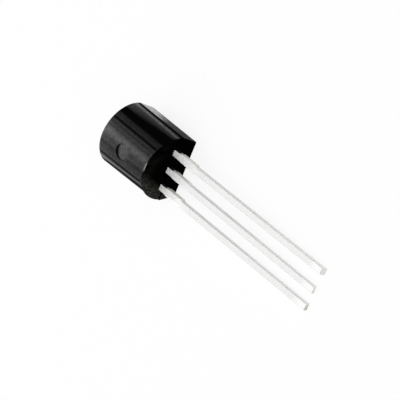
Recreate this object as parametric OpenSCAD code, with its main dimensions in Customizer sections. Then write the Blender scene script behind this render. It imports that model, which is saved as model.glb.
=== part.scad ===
// Small-signal transistor in a three-lead moulded package, lying on its flat side.
//
// The epoxy body is modelled with its leads along +X and its flat at the bottom,
// then laid the way the loose part comes to rest: the leads are heavier than the
// body, so it tips onto their ends. Origin: on the floor, at the middle of the length.

/* [Moulded body] */
// Width across the round back
body_w = 4.58; // [4.4:0.01:4.9]
// Depth from the flat to the crown of the round back
body_depth = 3.6; // [3.4:0.01:4.1]
// Height along the leads, measured at the parting line
body_h = 4.8; // [4.5:0.01:5.3]
// Width of the flat
flat_w = 4.12; // [3.7:0.01:4.3]
// Fillet where the flat meets the sides
flat_fillet = 0.12; // [0.05:0.01:0.25]
// Draft of both end faces, in degrees
end_draft = 2.5; // [0.5:0.1:5]
// How far the front half stands out past the round half at the parting line
parting_step = 0.05; // [0.02:0.01:0.1]

/* [Ejector-pin mark] */
// Diameter of the round mark in the crown of the back
ejector_d = 1.0; // [0.8:0.05:1.6]
// Depth of the mark at the crown
ejector_sink = 0.18; // [0.12:0.01:0.3]

/* [Leads] */
// Distance between the middles of neighbouring leads
lead_pitch = 1.27; // [1.2:0.01:1.35]
// Width of a lead
lead_w = 0.46; // [0.38:0.01:0.55]
// Thickness of the lead frame's strip
lead_t = 0.34; // [0.3:0.01:0.45]
// Free length of a lead
lead_len = 14.47; // [12.5:0.01:20]
// Distance from the flat to the front of the leads
flat_to_lead = 1.3; // [1.05:0.01:1.4]

/* [Tie-bar stubs] */
// Distance from the body to where a stub starts
stub_from = 0.5; // [0.3:0.01:0.9]
// Length of a stub along the lead
stub_len = 1.75; // [1:0.01:2]
// How far the stub stands out on the emitter's side of each lead
stub_out = 0.07; // [0.03:0.01:0.12]
// How far it stands out on the collector's side, where the punch cut closer
stub_in = 0.05; // [0.01:0.01:0.06]
// Length of the sloped end of a stub
stub_slope = 0.14; // [0.05:0.01:0.3]

/* [Lead frame inside the body] */
// Epoxy left between the lead frame and the far end of the body
frame_cover = 0.65; // [0.5:0.01:0.9]
// Length of the die pad along the leads
pad_len = 1.7; // [1.3:0.01:1.8]
// Gap between pieces of the lead frame
frame_gap = 0.4; // [0.3:0.01:0.45]
// Length of a bonding post along the leads
post_len = 0.5; // [0.4:0.01:0.6]
// Width of a bonding post
post_w = 1.05; // [0.8:0.01:1.1]
// Distance from the end face to the ears that lock a lead in the epoxy
ear_from = 0.45; // [0.3:0.01:0.5]
// Length of an ear
ear_len = 0.4; // [0.25:0.01:0.45]
// How far an ear stands out of the lead
ear_out = 0.14; // [0.08:0.01:0.17]

/* [Chip and bond wires] */
// Side of the square silicon chip
die_side = 0.46; // [0.35:0.01:0.7]
// Thickness of the chip
die_t = 0.2; // [0.15:0.01:0.28]
// Thickness of the bond layer under the chip
bond_t = 0.03; // [0.02:0.01:0.05]
// How far the bond layer spreads past the chip
bond_spread = 0.04; // [0.02:0.01:0.08]
// Diameter of the gold bond wire
wire_d = 0.05; // [0.04:0.005:0.06]
// Bend radius of the wire loop
wire_bend = 0.14; // [0.1:0.01:0.18]
// Straight rise of the wire above the ball on the chip
wire_rise = 0.06; // [0.04:0.01:0.1]
// Diameter of the ball bond on the chip and of the foot on the post
ball_d = 0.12; // [0.09:0.01:0.14]
// Thickness of the ball and of the foot
ball_t = 0.03; // [0.02:0.01:0.04]

/* [Hidden] */
$fn = 96;

// A cutter runs this far past the surface that it cuts
spare = 1;

// The mould parts in the plane of the leads' front faces, so the round half holds them
parting_z = flat_to_lead;
lead_back = flat_to_lead + lead_t;
body_r = body_w / 2;
round_z = body_depth - body_r;
front_w = body_w + 2 * parting_step;
// The end faces slope inwards on both sides of the parting plane
front_recess = parting_z * tan(end_draft);
back_recess = (body_depth - parting_z) * tan(end_draft);

emitter_y = lead_pitch;
collector_y = -lead_pitch;

// Lead frame, as distances inside the body
pad_far = body_h - frame_cover;
pad_near = pad_far - pad_len;
base_far = pad_near - frame_gap;
pad_left = collector_y - lead_w / 2;
pad_right = emitter_y - lead_w / 2 - post_over() - frame_gap;

// Chip, in the middle of the pad, on the side that faces the flat
die_x = -(pad_far + pad_near) / 2;
die_y = (pad_left + pad_right) / 2;
die_back = flat_to_lead - bond_t;
die_front = die_back - die_t;
// The two contacts on the chip, and where their wires land
contact_off = die_side / 4;
wire_top = die_front - ball_t - wire_rise - wire_bend;
emitter_post_x = -(pad_far + pad_near) / 2;
base_post_x = -(base_far - post_len / 2);

// At rest the body stands on the flat's near edge and the leads on their ends
rest_tilt = atan(flat_to_lead / (lead_len + front_recess));
far_x = min(
    laid_x(front_recess - body_h, 0),
    laid_x(-body_h, parting_z),
    laid_x(back_recess - body_h, body_depth)
);
tip_x = laid_x(lead_len, lead_back);

// How far a bonding post reaches past the edge of its lead
function post_over() = (post_w - lead_w) / 2;

// Row X of a point at x and z of the body's own frame, once it is laid
function laid_x(x, z) = (x + front_recess) * cos(rest_tilt) + z * sin(rest_tilt);

// Lays the part down from the body's own frame, whose origin is the middle of the
// flat's near edge before draft, with X along the leads and Z square to the flat
module at_rest() {
    translate([-(far_x + tip_x) / 2, 0, 0])
        rotate([0, rest_tilt, 0])
            translate([front_recess, 0, 0])
                children();
}

// ---- Body ----

// Front half seen along the leads: sides drafted towards the flat, filleted corners
module front_section() {
    side_draft = atan((front_w - flat_w) / 2 / parting_z);
    tangent = flat_fillet / tan(45 + side_draft / 2);
    corner_y = flat_w / 2 - tangent;
    side_y = flat_w / 2 + tangent * sin(side_draft);
    side_z = tangent * cos(side_draft);
    polygon([
        [-corner_y, 0], [corner_y, 0],
        [side_y, side_z], [front_w / 2, parting_z],
        [-front_w / 2, parting_z], [-side_y, side_z]
    ]);
    for (side = [-1, 1])
        translate([side * corner_y, flat_fillet])
            circle(flat_fillet);
}

// Round half seen along the leads: the arc past the parting plane
module round_section() {
    intersection() {
        translate([0, round_z])
            circle(body_r);
        translate([-body_w, parting_z])
            square([2 * body_w, body_depth]);
    }
}

// Body seen from the side: both end faces slope inwards from the parting plane
module side_outline() {
    polygon([
        [-front_recess, 0], [0, parting_z], [-back_recess, body_depth],
        [back_recess - body_h, body_depth], [-body_h, parting_z], [front_recess - body_h, 0]
    ]);
}

module body_blank() {
    intersection() {
        translate([-body_h - spare, 0, 0])
            rotate([90, 0, 90])
                linear_extrude(body_h + 2 * spare) {
                    front_section();
                    round_section();
                }
        rotate([90, 0, 0])
            linear_extrude(2 * body_w, center = true)
                side_outline();
    }
}

module ejector_mark() {
    translate([-body_h / 2, 0, body_depth - ejector_sink])
        cylinder(d = ejector_d, h = ejector_sink + spare);
}

// ---- Lead frame ----

// A lead seen square to the flat: strip, locking ears, and tie-bar stubs
module lead_outline(inside) {
    half = lead_w / 2;
    stub_to = stub_from + stub_len;
    translate([-inside, -half])
        square([inside + lead_len, lead_w]);
    translate([-ear_from - ear_len, -half - ear_out])
        square([ear_len, lead_w + 2 * ear_out]);
    polygon([
        [stub_from, -half], [stub_from + stub_slope, -half - stub_in],
        [stub_to - stub_slope, -half - stub_in], [stub_to, -half],
        [stub_to, half], [stub_to - stub_slope, half + stub_out],
        [stub_from + stub_slope, half + stub_out], [stub_from, half]
    ]);
}

module emitter_outline() {
    translate([0, emitter_y]) {
        lead_outline(-emitter_post_x);
        translate([emitter_post_x - post_len / 2, -post_w / 2])
            square([post_len, post_w]);
    }
}

module base_outline() {
    lead_outline(base_far - post_len / 2);
    translate([-base_far, -post_w / 2])
        square([post_len, post_w]);
}

module collector_outline() {
    translate([0, collector_y])
        lead_outline((pad_far + pad_near) / 2);
    translate([-pad_far, pad_left])
        square([pad_len, pad_right - pad_left]);
}

// Gives an outline the thickness of the lead frame, in its place
module strip() {
    translate([0, 0, flat_to_lead])
        linear_extrude(lead_t)
            children();
}

// ---- Chip and wires ----

module chip_at(z) {
    translate([die_x, die_y, z])
        children();
}

module chip_solid() {
    chip_at(die_front)
        linear_extrude(die_t)
            square(die_side, center = true);
}

module bond_layer() {
    chip_at(die_back)
        linear_extrude(bond_t)
            square(die_side + 2 * bond_spread, center = true);
}

// One corner of a wire loop: a quarter of a ring that starts at the origin along -Z
// and turns towards +X
module wire_corner() {
    translate([wire_bend, 0, 0])
        rotate([90, 0, 0])
            rotate([0, 0, 180])
                rotate_extrude(angle = 90)
                    translate([wire_bend, 0])
                        circle(d = wire_d);
}

// A gold wire from a contact on the chip to a bonding post: ball, rise, loop and foot
module wire_loop(from, to) {
    run = norm(to - from);
    heading = atan2(to.y - from.y, to.x - from.x);
    span = run - 2 * wire_bend;
    foot_top = flat_to_lead - ball_t;
    translate([from.x, from.y, 0])
        rotate([0, 0, heading]) {
            translate([0, 0, die_front - ball_t])
                cylinder(d = ball_d, h = ball_t);
            translate([0, 0, wire_top + wire_bend])
                cylinder(d = wire_d, h = wire_rise);
            translate([0, 0, wire_top + wire_bend])
                wire_corner();
            translate([wire_bend, 0, wire_top])
                rotate([0, 90, 0])
                    cylinder(d = wire_d, h = span);
            translate([run, 0, wire_top + wire_bend])
                mirror([1, 0, 0])
                    wire_corner();
            translate([run, 0, wire_top + wire_bend])
                cylinder(d = wire_d, h = foot_top - wire_top - wire_bend);
            translate([run, 0, foot_top])
                cylinder(d = ball_d, h = ball_t);
        }
}

module emitter_wire() {
    wire_loop([die_x, die_y + contact_off], [emitter_post_x, emitter_y - post_over()]);
}

module base_wire() {
    wire_loop([die_x + contact_off, die_y], [base_post_x, -post_over() / 2]);
}

// ---- Pieces ----

module moulded_body() {
    color([0.09, 0.09, 0.1])
        at_rest()
            difference() {
                body_blank();
                ejector_mark();
                strip() emitter_outline();
                strip() base_outline();
                strip() collector_outline();
                chip_solid();
                bond_layer();
                emitter_wire();
                base_wire();
            }
}

module emitter_lead() {
    color([0.86, 0.86, 0.85])
        at_rest()
            strip() emitter_outline();
}

module base_lead() {
    color([0.86, 0.86, 0.85])
        at_rest()
            strip() base_outline();
}

module collector_lead() {
    color([0.86, 0.86, 0.85])
        at_rest()
            strip() collector_outline();
}

module silicon_die() {
    color([0.35, 0.37, 0.42])
        at_rest()
            chip_solid();
}

module die_attach() {
    color([0.7, 0.7, 0.68])
        at_rest()
            bond_layer();
}

module emitter_bond_wire() {
    color([0.93, 0.74, 0.33])
        at_rest()
            emitter_wire();
}

module base_bond_wire() {
    color([0.93, 0.74, 0.33])
        at_rest()
            base_wire();
}

moulded_body();
emitter_lead();
base_lead();
collector_lead();
silicon_die();
die_attach();
emitter_bond_wire();
base_bond_wire();
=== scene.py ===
import math

import bpy
from mathutils import Matrix, Vector


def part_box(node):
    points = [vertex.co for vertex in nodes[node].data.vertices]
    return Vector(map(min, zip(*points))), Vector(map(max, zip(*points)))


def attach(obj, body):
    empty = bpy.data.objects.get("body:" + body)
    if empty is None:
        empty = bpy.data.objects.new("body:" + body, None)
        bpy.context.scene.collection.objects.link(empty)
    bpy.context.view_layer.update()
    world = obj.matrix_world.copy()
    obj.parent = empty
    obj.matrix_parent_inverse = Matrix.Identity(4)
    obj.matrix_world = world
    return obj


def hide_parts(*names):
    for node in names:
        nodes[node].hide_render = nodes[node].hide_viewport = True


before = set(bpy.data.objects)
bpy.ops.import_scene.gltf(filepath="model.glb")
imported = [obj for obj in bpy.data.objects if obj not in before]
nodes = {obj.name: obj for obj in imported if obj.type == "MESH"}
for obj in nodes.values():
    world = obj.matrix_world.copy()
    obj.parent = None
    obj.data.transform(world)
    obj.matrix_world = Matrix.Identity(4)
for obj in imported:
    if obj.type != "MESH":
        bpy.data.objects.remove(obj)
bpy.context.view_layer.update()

scene = bpy.context.scene

# ---- Lead frame ----
# Three strips stamped from one sheet of copper alloy and tin-plated. The punch rolls
# their edges, and the tie bar that held them in a row is sheared away, which leaves
# stubs. Inside the epoxy they widen into two bonding posts and the pad for the chip.

# Sizes in millimetres, in the part's own frame: X along the leads from the body's
# lower end, Y across them, Z up from the flat
pitch, strip_w, strip_t, free_len = 1.27, 0.46, 0.34, 14.47
strip_half, strip_front = strip_w / 2, 1.3
strip_back = strip_front + strip_t
front_roll, back_roll = 0.08, 0.045
ear_start, ear_len, ear_out = 0.45, 0.4, 0.14
stub_start, stub_len, stub_slope = 0.5, 1.65, 0.12
pad_far, pad_near, post_half, post_len = 4.15, 2.45, 0.525, 0.5
base_post, frame_gap = 2.05, 0.4

# The strips leave the body a little to the collector's side of their rows
row_shift = -0.055

# The loose part rests on the flat's near edge and the ends of its leads, slid along
# until the base lead's end meets that of its solid
mm = 0.001
parting = strip_front
end_slope = math.tan(math.radians(2.5))
rest_tilt = math.atan(strip_front / (free_len + parting * end_slope))
tipped = Matrix.Rotation(rest_tilt, 4, "Y") @ Matrix.Translation((parting * end_slope, 0, 0))
tip = tipped @ Vector((free_len, 0, strip_back))
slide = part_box("base_lead")[1].x / mm - tip.x
laid = Matrix.Scale(mm, 4) @ Matrix.Translation((slide, 0, 0)) @ tipped

# Points nearer to each other than this are one point
weld = 0.0005


class Wire:
    """A socket of a node tree. Sums on it add Math nodes, and node() adds any other."""

    def __init__(self, tree, source=None):
        self.tree = tree
        self.source = source

    def node(self, kind, settings=None, sockets=None, result=0):
        made = self.tree.nodes.new(kind)
        for name, setting in (settings or {}).items():
            setattr(made, name, setting)
        for name, value in (sockets or {}).items():
            if isinstance(value, Wire):
                self.tree.links.new(value.source, made.inputs[name])
            else:
                made.inputs[name].default_value = value
        return Wire(self.tree, made.outputs[result] if made.outputs else None)

    def maths(self, operation, first, *others):
        sockets = dict(enumerate((first, *others)))
        return self.node("ShaderNodeMath", {"operation": operation}, sockets)

    def parts(self):
        split = self.node("ShaderNodeSeparateXYZ", {}, {0: self}).source.node
        return [Wire(self.tree, output) for output in split.outputs]

    def point(self, x, y, z):
        return self.node("ShaderNodeCombineXYZ", {}, {0: x, 1: y, 2: z})

    def rise(self, low, high):
        """0 below low and 1 above high, with a smooth rise between."""
        settings = {"interpolation_type": "SMOOTHSTEP"}
        return self.node("ShaderNodeMapRange", settings, {0: self, 1: low, 2: high})

    def __add__(self, other):
        return self.maths("ADD", self, other)

    def __sub__(self, other):
        return self.maths("SUBTRACT", self, other)

    def __rsub__(self, other):
        return self.maths("SUBTRACT", other, self)

    def __mul__(self, other):
        return self.maths("MULTIPLY", self, other)

    def __truediv__(self, other):
        return self.maths("DIVIDE", self, other)

    def __abs__(self):
        return self.maths("ABSOLUTE", self)

    def __gt__(self, other):
        return self.maths("GREATER_THAN", self, other)

    def __lt__(self, other):
        return self.maths("LESS_THAN", self, other)

    __radd__, __rmul__ = __add__, __mul__


def rule(name, inputs):
    """A Geometry Nodes tree with named inputs: the tree, and a wire for each input."""
    tree = bpy.data.node_groups.new(name, "GeometryNodeTree")
    for label, kind in inputs.items():
        tree.interface.new_socket(label, in_out="INPUT", socket_type="NodeSocket" + kind)
    tree.interface.new_socket("Solid", in_out="OUTPUT", socket_type="NodeSocketGeometry")
    given = tree.nodes.new("NodeGroupInput")
    return tree, [Wire(tree, given.outputs[label]) for label in inputs]


def joined(wire, pieces):
    """Several wires' geometry in one, in the order given."""
    whole = wire.node("GeometryNodeJoinGeometry")
    for piece in reversed(pieces):
        wire.tree.links.new(piece.source, whole.source.node.inputs[0])
    return whole


def open_edges(wire):
    """Picks the edges that have a face on one side only."""
    return wire.node("GeometryNodeInputMeshEdgeNeighbors") < 1.5


def rolled_blank(outline, thickness, low_roll, high_roll, rows=0, ridge=None):
    """A closed solid on flat outlines, as thick as asked and centred on their plane.

    Its lower and upper rims are rolled to two radii. Its walls are cut in rows, and its
    ends are cut at a ridge where they will be bent.
    """
    rail = outline.node("GeometryNodeMeshToCurve", {}, {"Mesh": outline})
    rail = outline.node("GeometryNodeSetCurveNormal", {"mode": "Z_UP"}, {"Curve": rail})
    half = thickness * 0.5
    corners = {
        "Point 1": outline.point(low_roll * -1, half * -1, 0),
        "Point 2": outline.point(0, half * -1, 0),
        "Point 3": outline.point(0, half, 0),
        "Point 4": outline.point(high_roll * -1, half, 0),
    }
    rim = outline.node("GeometryNodeCurvePrimitiveQuadrilateral", {"mode": "POINTS"}, corners)
    rim = outline.node("GeometryNodeSetSplineCyclic", {}, {"Geometry": rim, "Cyclic": False})
    height = outline.node("GeometryNodeInputPosition").parts()[1]
    roll = low_roll + (height > 0) * (high_roll - low_roll)
    bend = {"Curve": rim, "Count": 4, "Radius": roll, "Limit Radius": True}
    rim = outline.node("GeometryNodeFilletCurve", {"mode": "POLY"}, bend)
    if rows:
        foot = (abs(height + half - low_roll) < 2 * weld) * rows
        rim = outline.node("GeometryNodeSubdivideCurve", {}, {"Curve": rim, "Cuts": foot})
    wall = outline.node("GeometryNodeCurveToMesh", {}, {"Curve": rail, "Profile Curve": rim})
    _, level, height = outline.node("GeometryNodeInputPosition").parts()
    shares = [1] if ridge is None else [level > ridge, level < ridge]
    pieces = [wall]
    for side in (1, -1):
        for share in shares:
            brim = (height * side > 0) * open_edges(outline) * share
            loop = outline.node("GeometryNodeMeshToCurve", {}, {"Mesh": wall, "Selection": brim})
            loop = outline.node("GeometryNodeSetSplineCyclic", {}, {"Geometry": loop, "Cyclic": True})
            cap = outline.node("GeometryNodeFillCurve", {"mode": "NGONS"}, {"Curve": loop})
            lift = {"Geometry": cap, "Translation": outline.point(0, 0, half * side)}
            cap = outline.node("GeometryNodeTransform", {}, lift)
            if side < 0:
                cap = outline.node("GeometryNodeFlipFaces", {}, {"Mesh": cap})
            pieces.append(cap)
    merge = {"Geometry": joined(outline, pieces), "Distance": weld}
    return outline.node("GeometryNodeMergeByDistance", {}, merge)


def coated(solid, finish, second, where):
    """Ends a tree: the solid gets its first finish, and a second one where it is picked."""
    solid = solid.node("GeometryNodeRealizeInstances", {}, {"Geometry": solid})
    solid = solid.node("GeometryNodeSetMaterial", {}, {"Geometry": solid, "Material": finish})
    picked = {"Geometry": solid, "Selection": where, "Material": second}
    solid = solid.node("GeometryNodeSetMaterial", {}, picked)
    solid.node("NodeGroupOutput", {}, {"Solid": solid})


def placed(name, data):
    """A new object in the scene."""
    thing = bpy.data.objects.new(name, data)
    scene.collection.objects.link(thing)
    return thing


def shaped(name, outlines, tree, values, place):
    """The plain mesh that a tree makes from closed outlines, set in its place in the frame."""
    points, edges = [], []
    for outline in outlines:
        start, count = len(points), len(outline)
        points += [(x, y, 0) for x, y in outline]
        edges += [(start + i, start + (i + 1) % count) for i in range(count)]
    drawing = bpy.data.meshes.new(name)
    drawing.from_pydata(points, edges, [])
    piece = placed(name, drawing)
    modifier = piece.modifiers.new("shape", "NODES")
    modifier.node_group = tree
    for item in tree.interface.items_tree:
        if item.name in values:
            modifier[item.identifier] = values[item.name]
    made = piece.evaluated_get(bpy.context.evaluated_depsgraph_get())
    mesh = bpy.data.meshes.new_from_object(made)
    # The drawing leaves an empty slot ahead of the materials
    if mesh.materials[0] is None:
        mesh.materials.pop(index=0)
    piece.modifiers.clear()
    piece.data = mesh
    mesh.transform(place)
    mesh.shade_smooth()
    mesh.set_sharp_from_angle(angle=math.radians(40))
    even = piece.modifiers.new("even_normals", "WEIGHTED_NORMAL")
    even.keep_sharp = True
    return piece


def material(name):
    made = bpy.data.materials.new(name)
    made.use_nodes = True
    made.node_tree.nodes.clear()
    return made, Wire(made.node_tree)


def dressed(wire, sockets):
    """Ends a material in one Principled shader."""
    shader = wire.node("ShaderNodeBsdfPrincipled", {}, sockets)
    wire.node("ShaderNodeOutputMaterial", {}, {"Surface": shader})


def own_place(wire):
    """Object coordinates turned into the part's own frame, in millimetres."""
    move, turn, size = laid.inverted().decompose()
    here = wire.node("ShaderNodeTexCoord", result="Object")
    sockets = {"Vector": here, "Location": move, "Rotation": turn.to_euler(), "Scale": size}
    return wire.node("ShaderNodeMapping", {}, sockets)


def grain(place, per_mm, stretch=(1, 1, 1), detail=2):
    """Noise from 0 to 1 with so many grains in a millimetre."""
    drawn = place.node("ShaderNodeVectorMath", {"operation": "MULTIPLY"}, {0: place, 1: stretch})
    sockets = {"Vector": drawn, "Scale": per_mm, "Detail": detail}
    return place.node("ShaderNodeTexNoise", {}, sockets)


def shade(share, low, high):
    """A colour between two, by a share from 0 to 1."""
    ends = [end if isinstance(end, Wire) else (*end, 1) for end in (low, high)]
    sockets = {0: share, 6: ends[0], 7: ends[1]}
    return share.node("ShaderNodeMix", {"data_type": "RGBA"}, sockets, result=2)


def raised(height, depth):
    """A normal for a relief as deep as depth, in metres."""
    sockets = {"Strength": 1, "Distance": depth, "Height": height}
    return height.node("ShaderNodeBump", {}, sockets)


bright_tin, dull_tin, black_resin = (0.95, 0.95, 0.945), (0.42, 0.42, 0.415), (0.004, 0.004, 0.004)
tin, wire = material("matt_tin_plate")
place = own_place(wire)
along, across, up = place.parts()
pebble, drawn = grain(place, 9), grain(place, 7, (0.12, 2, 2))
# The plating is speckled as far as the stubs, and clean beyond them
root = 1 - along.rise(0.3, 2.2)
clean = along.rise(1.6, 3.2)
off_middle = place.maths("WRAP", across - row_shift, pitch / 2, pitch / -2)
edge = abs(off_middle).rise(strip_half - 0.08, strip_half - 0.03)
speckle = grain(place, 9, detail=4).rise(0.35, 0.65) * root * (1 - edge * 0.8)
# A painted highlight: the upper face's edge on the collector's side is lightened along the stubs,
# where its rounding catches the light
right_edge = (off_middle * -1).rise(strip_half - 0.09, strip_half - 0.04)
painted_edge_glint = right_edge * (1 - along.rise(2.0, 3.0)) * up.rise(strip_back - 0.06, strip_back - 0.02)
# A film of resin stays on the sides, between the body and the stubs
film_end = (along - up * 0.32 + pebble * 0.15).rise(-0.06, 0.02)
film = abs(off_middle).rise(strip_half - 0.03, strip_half - 0.01) * (1 - film_end)
# Beyond the stubs the upper face is duller until close to its end. The sides carry painted shade:
# darker near the body, which shades them and darkens what they show, and lighter towards the ends,
# with more metal in their lower half
face_up = up.rise(strip_back - 0.04, strip_back - 0.01)
on_face = face_up * 0.17 * (1 - along.rise(13.2, 13.9))
painted_side_shade = (1 - face_up) * (0.12 - along.rise(5, 12) * 0.17)
low_side = 1 - up.rise(strip_front + 0.08, strip_front + 0.2)
dull = speckle * 0.4 + pebble * 0.12 + drawn * 0.08 + (1 - root) * 0.1
# The sides' painted shade darkens the plating, and the edge's painted glint lightens it
dull = dull + clean * (on_face + painted_side_shade) - painted_edge_glint * 0.3
dressed(wire, {
    "Base Color": shade(film, shade(dull, bright_tin, dull_tin), black_resin),
    "Metallic": 0.45 - root * 0.35 + clean * low_side * 0.5 + painted_edge_glint * 0.5,
    "Roughness": 0.45 + 0.12 * pebble + 0.1 * speckle,
    "Normal": raised(pebble + drawn * 0.6 + speckle * 0.5, 1.2e-6),
})

torn_copper, smeared_tin = (0.64, 0.64, 0.54), (0.88, 0.88, 0.84)
copper, wire = material("sheared_copper_alloy")
place = own_place(wire)
along, across, _ = place.parts()
tear = grain(place, 14, (1, 1, 0.3), 4)
# At the ends, the shears smear the tin over the left of each cut, and more so towards
# the emitter
off_row = place.maths("WRAP", across, pitch / 2, pitch / -2)
smeared = ((across * 0.2 + off_row) * along.rise(5, 10) + tear * 0.9).rise(0.1, 0.7)
dressed(wire, {
    "Base Color": shade(smeared, torn_copper, smeared_tin),
    "Metallic": 0.15, "Roughness": 0.6 - smeared * 0.15, "Normal": raised(tear, 4e-6),
})

strip_inputs = {
    "Outline": "Geometry", "Thickness": "Float", "Front roll": "Float", "Back roll": "Float",
    "Length": "Float", "Row": "Float", "Half width": "Float",
    "Stub start": "Float", "Stub end": "Float",
    "Slant across": "Float", "Slant through": "Float", "Row shift": "Float", "Drift": "Float",
    "Plating": "Material", "Bare metal": "Material",
}
strip_rule, wires = rule("stamped_strip", strip_inputs)
outline, thick, roll_in, roll_out, length, row, half_w = wires[:7]
stub_a, stub_b, slant_y, slant_z, shift, drift, plating, bare = wires[7:]
strip = rolled_blank(outline, thick, roll_in, roll_out)
along, across, up = outline.node("GeometryNodeInputPosition").parts()
side = across - row
# The end is cut at a slant: one corner keeps the strip's full length
cut_zone = 0.3
lean = side * slant_y + up * slant_z - half_w * abs(slant_y) - thick * 0.5 * abs(slant_z)
shear = (along - length).rise(-cut_zone, -0.1) * lean
past_stub = outline.maths("MAXIMUM", along - stub_b, 0)
sway = past_stub / (length - stub_b) * drift + shift
offset = {"Geometry": strip, "Offset": outline.point(shear, sway, 0)}
strip = outline.node("GeometryNodeSetPosition", {}, offset)
# Bare metal shows at the end, and on the stubs' sides where they stand proud
facing, sideways, _ = outline.node("GeometryNodeInputNormal").parts()
end_cut = (facing > 0.7) * (along > length - cut_zone)
proud_side = (abs(sideways) > 0.6) * (abs(side - sway) > half_w + 0.015)
stub_cut = proud_side * (along > stub_a) * (along < stub_b)
coated(strip, plating, bare, end_cut + stub_cut)

# Where the locking ears end inside the body, and the stubs outside it
ear_end, stub_end = ear_start + ear_len, stub_start + stub_len


def strip_side(near, far, length):
    """Points of one edge beyond the post or pad, as distances along and out of the strip."""
    return [
        (-ear_end, 0), (-ear_end, ear_out), (-ear_start, ear_out), (-ear_start, 0),
        (stub_start, 0), (stub_start + stub_slope, near),
        (stub_end - stub_slope, far), (stub_end, 0), (length, 0),
    ]


def strip_outline(row, length, right_stub, left_stub, inner_right, inner_left):
    """A strip seen square to the flat, counter-clockwise from the end inside the body."""
    right = [(x, row - strip_half - out) for x, out in strip_side(*right_stub, length)]
    left = [(x, row + strip_half + out) for x, out in strip_side(*left_stub, length)]
    return inner_right + right + left[::-1] + inner_left


def post(row, x):
    """The widened inner end of a lead, where a bond wire lands."""
    right = [(x - post_len, row - post_half), (x, row - post_half), (x, row - strip_half)]
    left = [(x, row + strip_half), (x, row + post_half), (x - post_len, row + post_half)]
    return right, left


pad_middle = (pad_far + pad_near) / 2
pad_right = pitch - post_half - frame_gap
pad = (
    [(-pad_far, -pitch - strip_half)],
    [(-pad_near, strip_half - pitch), (-pad_near, pad_right), (-pad_far, pad_right)],
)
# Each strip's row and inner end, the length of its cut and the cut's slants across and
# through it, how far its right and left stubs stand out, next to the body and at their
# far ends, and how far it has drifted to the left at its tip
strips = {
    "emitter": (
        pitch, post(pitch, post_len / 2 - pad_middle), (14.56, 0.05, -0.38),
        (0.02, 0.07), (0.06, 0.07), 0.13),
    "base": (
        0, post(0, post_len - base_post), (14.475, -0.03, 0.4),
        (0.04, 0.03), (0.06, 0.02), 0.06),
    "collector": (
        -pitch, pad, (14.44, -0.02, 0.12),
        (0.05, 0.05), (0.06, 0.08), 0.11),
}
strip_plane = Matrix.Translation((0, 0, (strip_front + strip_back) / 2))
for name, (row, inner, cut, right_stub, left_stub, drift) in strips.items():
    length, slant_y, slant_z = cut
    values = {
        "Thickness": strip_t, "Front roll": front_roll, "Back roll": back_roll,
        "Length": length, "Row": row, "Half width": strip_half,
        "Stub start": stub_start, "Stub end": stub_end,
        "Slant across": slant_y, "Slant through": slant_z,
        "Row shift": row_shift, "Drift": drift,
        "Plating": tin, "Bare metal": copper,
    }
    points = strip_outline(row, length, right_stub, left_stub, *inner)
    lead = shaped(name + "_strip", [points], strip_rule, values, laid @ strip_plane)
    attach(lead, "root")
    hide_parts(name + "_lead")

# ---- Chip ----
# A square of silicon sawn from a wafer, bonded to the pad by a layer of silver-filled
# adhesive. It lies on the side of the pad that faces the flat, and has two aluminium
# contacts.


def finished(name, finish):
    """Gives a CAD node its finish."""
    nodes[name].data.materials.clear()
    nodes[name].data.materials.append(finish)


silicon, wire = material("sawn_silicon")
saw = grain(own_place(wire), 40, (1, 1, 4))
dressed(wire, {
    "Base Color": shade(saw, (0.2, 0.22, 0.26), (0.3, 0.32, 0.37)),
    "Metallic": 0.4, "Roughness": 0.2 + 0.15 * saw, "Normal": raised(saw, 5e-7),
})
finished("silicon_die", silicon)

adhesive, wire = material("silver_filled_adhesive")
flakes = grain(own_place(wire), 60, detail=4)
dressed(wire, {
    "Base Color": shade(flakes, (0.5, 0.5, 0.48), (0.8, 0.8, 0.78)),
    "Metallic": 0.9, "Roughness": 0.45 + 0.25 * flakes, "Normal": raised(flakes, 2e-6),
})
finished("die_attach", adhesive)

# ---- Bond wires ----
# Two loops of drawn gold wire, ball-bonded to the chip's contacts and stitched to the
# posts of the emitter and the base.

gold, wire = material("drawn_gold_wire")
draw = grain(own_place(wire), 50, (1, 1, 0.4))
dressed(wire, {
    "Base Color": shade(draw, (0.85, 0.62, 0.25), (0.97, 0.8, 0.4)),
    "Metallic": 1, "Roughness": 0.22 + 0.12 * draw, "Normal": raised(draw, 1e-6),
})
for name in ("emitter_bond_wire", "base_bond_wire"):
    finished(name, gold)

# ---- Moulded body ----
# Black filled epoxy, moulded round the lead frame in a two-part tool that closes on
# the leads' front faces. The front half stands a little proud of the round half there,
# all faces are drafted, and an ejector pin leaves a sunk round mark in the back.

body_w, body_depth, body_h, flat_w = 4.58, 3.6, 4.8, 4.12
flat_fillet, proud, rim = 0.12, 0.05, 0.04
body_r = body_w / 2
round_z = body_depth - body_r
front_half = body_r + proud

# The mark's radius and depth, and its middle along and across
mark_r, mark_sink, mark_x, mark_y = 0.55, 0.155, -2.6, -0.17

# The two halves of the tool are out of line, so the round half stops short at the
# leads' end. The collector's side draws in towards the leads by a share of its width
# for each millimetre, from the place along the body where it is true
mismatch, side_taper, taper_from = 0.09, 0.0154, -3.2


def bow(centre_y, centre_z, radius, start, end, count):
    """Points of an arc seen along the leads."""
    turns = [math.radians(start + (end - start) * i / count) for i in range(count + 1)]
    return [(centre_y + radius * math.cos(t), centre_z + radius * math.sin(t)) for t in turns]


# The front half's section has a filleted corner and a drafted side, mirrored, and the
# round half's is an arc down to the parting line on both sides
draft = math.degrees(math.atan((front_half - flat_w / 2) / parting))
corner_y = flat_w / 2 - flat_fillet / math.tan(math.radians(45 + draft / 2))
lip = math.degrees(math.asin((parting - round_z) / body_r))
right = bow(corner_y, flat_fillet, flat_fillet, -90, -draft, 6)
right += [(front_half, parting)]
front_section = right + [(-y, z) for y, z in reversed(right)]
round_section = bow(0, round_z, body_r, lip, 180 - lip, 120)


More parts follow.
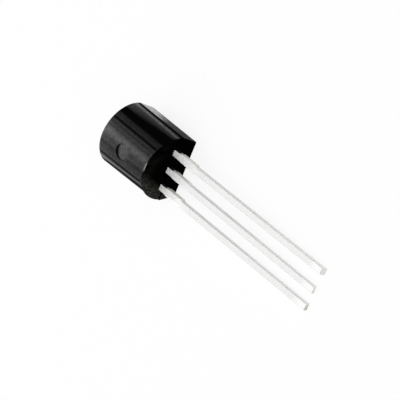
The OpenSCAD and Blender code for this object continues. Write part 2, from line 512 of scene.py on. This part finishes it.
def crown_angle(across, up):
    """Degrees round the section from the crown, towards the emitter's side."""
    return up.maths("ARCTAN2", across, up - round_z) * (180 / math.pi)


def rim_glint_span(turn):
    """1 where a glint is painted on the rim at the leads' end, close to the crown."""
    return 1 - abs(turn - 2.5).rise(4, 10)


# The round half's skin is polished evenly over the crown and faintly at the collector's side. Its
# gloss fades out between 47 and 50 degrees towards the emitter, a painted dark reflection. Streaks
# along the part are glossier or duller: partly streaks left by the tool's cavity, partly painted
# reflection set where bands of reflected light and dark lie on the back. Each streak's angle from the
# crown, half its width in degrees, and the gloss it adds
even_polish, faint_polish = 0.45, 0.05
streaks_and_reflections = [
    (-38, 5, 0.25), (-34, 3, -0.15), (-9, 5, -0.1), (12, 11, 0.5), (24, 4, 0.35),
    (32, 3, 0.2), (38, 3, 0.15), (43, 3, -0.15), (47, 3, 0.55), (76, 15, 0.3), (81, 5, 0.6),
]
black_epoxy, pale_dust_and_glint, end_pale_grey = (0.001, 0.001, 0.001), (0.33, 0.33, 0.32), (0.33, 0.33, 0.29)
skin, wire = material("black_epoxy_skin")
place = own_place(wire)
along, across, up = place.parts()
inward = along * -1
turn = crown_angle(across, up)
fine, coarse, mottle = grain(place, 10, detail=3), grain(place, 2.2), grain(place, 6)
pull = grain(place, 5, (0.1, 2.2, 2.2))
# Some bands aren't quite parallel to the part: they turn by so many degrees a millimetre
skew = 2.2 * turn.rise(66, 74) + 1.3 * turn.rise(74, 78) - 2.9 * turn.rise(58, 64)
skew = skew - 2.1 * (turn * -1).rise(22, 32)
band_turn = turn + (along + body_h / 2) * skew
band = band_turn.rise(-44, -39) * (even_polish - faint_polish) + faint_polish
band = band * (1 - band_turn.rise(47, 50))
for angle, half_width, gain in streaks_and_reflections:
    band = band + (1 - abs(band_turn - angle).rise(0, half_width)) * gain
# The gloss deepens away from the leads, and is even on the mark and next to it, on the
# leads' side
deeper = 0.86 + 0.075 * inward + 0.18 * inward.rise(body_h - 1.2, body_h - 0.4)
patch_x = mark_x + 0.14
off_patch = place.maths("POWER", across - mark_y, 2) + place.maths("POWER", along - patch_x, 2)
marked = 1 - off_patch.rise((mark_r * 0.45) ** 2, (mark_r * 1.4) ** 2)
back_gloss = band * deeper * (1 - marked) + marked * (0.78 + 0.4 * (across - mark_y))
# The front half is dull, with a shine that grows away from the leads. Its pale colour is partly
# mottled dust and partly a painted highlight, growing away from the leads and strongest at the far
# end, where its side catches the brightest reflection
front = (parting - up).rise(0.0, 0.02)
shine = (inward + up + coarse * 0.8).rise(3.3, 5.1)
front_gloss = (0.13 + 0.75 * shine) * (1 - along.rise(-0.06, -0.02))
bloom = (inward + coarse * 0.6).rise(1.4, 5.4) * fine.rise(0.35, 0.65)
far_end_sheen = inward.rise(body_h - 0.4, body_h - 0.1)
dust_and_sheen = front * up.rise(0.0, 0.12) * (bloom + far_end_sheen * 1.6)
# A glint is painted on the rim at the leads' end, close to the crown, where light catches the edge
painted_rim_glint = (along + mismatch + fine * 0.1).rise(-0.14, 0.0) * rim_glint_span(turn)
gloss = back_gloss * (1 - front) + front_gloss * front
worn = 0.05 + 0.3 * fine + 0.2 * pull + 1.4 * mottle
# Dust and the painted highlight on the front half, and the painted rim glint, lighten the black
pale = dust_and_sheen * 0.9 + painted_rim_glint + coarse * 0.002 + fine * 0.002
dressed(wire, {
    "Base Color": shade(pale, black_epoxy, pale_dust_and_glint),
    "Roughness": 0.4 + 0.12 * fine, "Specular IOR Level": 0.0,
    "Coat Weight": gloss * worn, "Coat Roughness": 0.11, "Coat IOR": 1.6,
    "Normal": raised(fine + pull * 0.4, 3e-6),
})

# The end faces come out of the tool matt. They are paler towards the collector's side and away from
# the flat, and hazy at the crown, and their rim carries a painted glint at the same place as the
# skin's
face, wire = material("black_epoxy_end_face")
place = own_place(wire)
_, across, up = place.parts()
fine, coarse = grain(place, 10, detail=4), grain(place, 3)
paler_patch = (up * 0.45 - across + coarse * 0.6).rise(2.0, 3.0) * fine.rise(0.3, 0.75)
haze = grain(place, 1.5, (1, 1.4, 0.8)).rise(0.4, 0.7) * (up * 0.8 + fine).rise(1.4, 3.6) * 0.09
squares = place.maths("POWER", across, 2) + place.maths("POWER", up - round_z, 2)
from_centre = place.maths("SQRT", squares)
# The end face's rim carries the same painted glint, close to the crown
painted_edge_glint = (from_centre + fine * 0.1).rise(body_r - 0.06, body_r + 0.02)
painted_rim_glint = painted_edge_glint * rim_glint_span(crown_angle(across, up))
dressed(wire, {
    "Base Color": shade(paler_patch * 0.2 + haze * 0.2 + painted_rim_glint, black_epoxy, end_pale_grey),
    "Roughness": 0.6 + 0.2 * fine, "Specular IOR Level": 0.0,
    "Normal": raised(fine + coarse, 8e-6),
})

moulding_inputs = {
    "Section": "Geometry", "Height": "Float", "Rim radius": "Float", "Rows": "Int",
    "Parting": "Float", "End slope": "Float", "Round centre": "Float", "Round radius": "Float",
    "Window": "Float", "Mark radius": "Float", "Mark sink": "Float",
    "Mark along": "Float", "Mark across": "Float",
    "Mismatch": "Float", "Side taper": "Float", "Taper from": "Float",
    "Skin": "Material", "End face": "Material",
}
moulding_rule, wires = rule("two_part_moulding", moulding_inputs)
outline, height, roll, rows, part_z, slope, centre, radius, window = wires[:9]
mark, sink, mark_l, mark_w, shift, taper, taper_l, skin_in, face_in = wires[9:]
body = rolled_blank(outline, height, roll, roll, rows, part_z)
across, up, along = outline.node("GeometryNodeInputPosition").parts()
opening = (abs(along - mark_l) < window) * (abs(across - mark_w) < window) * (up > centre)
cut = {"Geometry": body, "Selection": opening}
body = outline.node("GeometryNodeDeleteGeometry", {"domain": "FACE"}, cut)
# The mark is spun down from the edge of a window in the back, one ring at a time:
# share of its radius, depth below the round back, and share of the way to the floor
rings = [
    (1.35, 0, 0), (1.2, 0, 0), (1.05, 0, 0), (1.025, 0.003, 0), (1.01, 0.009, 0), (1.0, 0.02, 0),
    (0.99, 0, 0.85), (0.975, 0, 0.96), (0.94, 0, 1), (0.6, 0, 1), (0.25, 0, 1), (0, 0, 1),
]
mark_level = outline.maths("SQRT", radius * radius - mark_w * mark_w)
for share, drop, sunk in rings:
    pull = {"Mesh": body, "Selection": open_edges(outline), "Offset Scale": 0}
    body = outline.node("GeometryNodeExtrudeMesh", {"mode": "EDGES"}, pull)
    top = Wire(moulding_rule, body.source.node.outputs["Top"])
    across, up, along = outline.node("GeometryNodeInputPosition").parts()
    bearing = outline.maths("ARCTAN2", along - mark_l, across - mark_w)
    ring_y = outline.maths("COSINE", bearing) * mark * share + mark_w
    ring_x = outline.maths("SINE", bearing) * mark * share + mark_l
    back = outline.maths("SQRT", radius * radius - ring_y * ring_y) + centre - drop
    floor_z = centre + mark_level - sink - (ring_y - mark_w) * mark_w / mark_level
    spot = outline.point(ring_y, back + (floor_z - back) * sunk, ring_x)
    ring = {"Geometry": body, "Selection": top, "Position": spot}
    body = outline.node("GeometryNodeSetPosition", {}, ring)
merge = {"Geometry": body, "Distance": weld}
body = outline.node("GeometryNodeMergeByDistance", {}, merge)
# The ends slope both ways from the parting line, and the round half slides by the
# mismatch. The collector's side draws in: by half as much on the front half, while the
# round half springs back at its rim
across, up, along = outline.node("GeometryNodeInputPosition").parts()
lean = along / (height * -0.5) * abs(up - part_z) * slope
half = outline.node("GeometryNodeInputMeshIsland") > 0.5
sprung = (along - height * 0.5).rise(-0.2, -0.08)
flare = half * (0.5 - sprung) + 0.5
drawn_in = (across < 0) * across * (along - taper_l) * flare * taper * -1
offset = {"Geometry": body, "Offset": outline.point(drawn_in, 0, lean - half * shift)}
body = outline.node("GeometryNodeSetPosition", {}, offset)
facing = outline.node("GeometryNodeInputNormal").parts()[2]
end_face = (abs(facing) > 0.9) * (abs(along) > height * 0.4)
coated(body, skin_in, face_in, end_face)

# The rule builds the body upright and centred: this lays it along X, its lower end at 0
upright = Matrix(((0, 0, 1, -body_h / 2), (1, 0, 0, 0), (0, 1, 0, 0), (0, 0, 0, 1)))
values = {
    "Height": body_h, "Rim radius": rim, "Rows": 27, "Parting": parting,
    "End slope": end_slope, "Round centre": round_z, "Round radius": body_r,
    "Window": 0.8, "Mark radius": mark_r, "Mark sink": mark_sink,
    "Mark along": mark_x + mismatch + body_h / 2, "Mark across": mark_y,
    "Mismatch": mismatch, "Side taper": side_taper, "Taper from": taper_from + body_h / 2,
    "Skin": skin, "End face": face,
}
sections = [front_section, round_section]
body = shaped("epoxy_body", sections, moulding_rule, values, laid @ upright)
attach(body, "root")
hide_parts("moulded_body")

# ---- Floor ----
# A wide sheet of matt white paper. Its own brightness is evened out towards plain
# white, and what is left of it keeps the part's soft shadow.

paper_r, paper_sides, paper_z, evened = 0.9, 96, -1e-5, 0.85
turns = [math.tau * i / paper_sides for i in range(paper_sides)]
rim_points = [(paper_r * math.cos(t), paper_r * math.sin(t), paper_z) for t in turns]
paper_mesh = bpy.data.meshes.new("paper")
paper_mesh.from_pydata(rim_points, [], [tuple(range(paper_sides))])
paper = placed("paper", paper_mesh)
white, wire = material("white_paper")
fibre = grain(wire.node("ShaderNodeTexCoord", result="Object"), 900, detail=4)
pulp = wire.node("ShaderNodeBsdfPrincipled", {}, {
    "Base Color": shade(fibre, (0.9, 0.9, 0.9), (0.94, 0.94, 0.94)),
    "Roughness": 0.9, "Specular IOR Level": 0.1,
})
even = wire.node("ShaderNodeEmission", {}, {"Color": (1, 1, 1, 1), "Strength": 1})
# Plain white counts where the paper is seen straight, in a shine or through something
path = wire.node("ShaderNodeLightPath").source.node.outputs
seen = Wire(white.node_tree, path["Is Camera Ray"])
for ray in ("Is Glossy Ray", "Is Transmission Ray"):
    seen = seen.maths("MAXIMUM", seen, Wire(white.node_tree, path[ray]))
mixed = wire.node("ShaderNodeMixShader", {}, {0: seen * evened, 1: pulp, 2: even})
wire.node("ShaderNodeOutputMaterial", {}, {"Surface": mixed})
paper_mesh.materials.append(white)

# ---- Lamps ----
# Long soft boxes parallel to the part, so that the round back shows each as a band
# from end to end, with a fill box over the leads' ends and a faint glow all round.


def soft_box(name, length, width, brightness, place, rotation):
    """A rectangular lamp. At brightness 1 it looks as bright as plain white."""
    lamp = bpy.data.lights.new(name, "AREA")
    lamp.shape = "RECTANGLE"
    lamp.size, lamp.size_y = length, width
    lamp.energy = brightness * math.pi * length * width
    holder = placed(name, lamp)
    holder.location = place
    holder.rotation_euler = rotation


# The long boxes' distance from the part and their ends along X. Then the two edges of
# each, in degrees from straight up towards the emitter's side, and its brightness
reach, box_from, box_to = 0.25, -0.5, 0.1
long_boxes = {
    "key_box": (-39, 13, 1.5), "shoulder_box": (13, 37, 0.75),
    "low_box": (-80, -39, 0.9), "streak_box": (47, 60, 0.55),
}
for name, (low, high, brightness) in long_boxes.items():
    middle = math.radians((low + high) / 2)
    width = 2 * reach * math.tan(math.radians((high - low) / 2))
    spot = ((box_from + box_to) / 2, reach * math.sin(middle), reach * math.cos(middle))
    soft_box(name, box_to - box_from, width, brightness, spot, (-middle, 0, 0))

fill_spot = Vector((0.3, 0.12, 0.35))
fill_turn = (-fill_spot).to_track_quat("-Z", "Y").to_euler()
soft_box("fill_box", 0.6, 0.5, 1.25, fill_spot, fill_turn)

glow = 0.08
air = bpy.data.worlds.new("studio")
air.use_nodes = True
air.node_tree.nodes["Background"].inputs["Color"].default_value = (1, 1, 1, 1)
air.node_tree.nodes["Background"].inputs["Strength"].default_value = glow
scene.world = air

# ---- Camera ----
# A long lens above the leads' side of the part, which holds the body at the upper left
# and the ends of the leads at the lower right.

eye = bpy.data.cameras.new("camera")
eye.sensor_width = 36
eye.lens = 189
eye.clip_start, eye.clip_end = 0.005, 10
camera = placed("camera", eye)
camera.location = (0.087033, 0.048165, 0.088354)
camera.rotation_euler = [math.radians(turn) for turn in (3.473, 49.073, 33.281)]
scene.camera = camera

scene.view_settings.view_transform = "Standard"
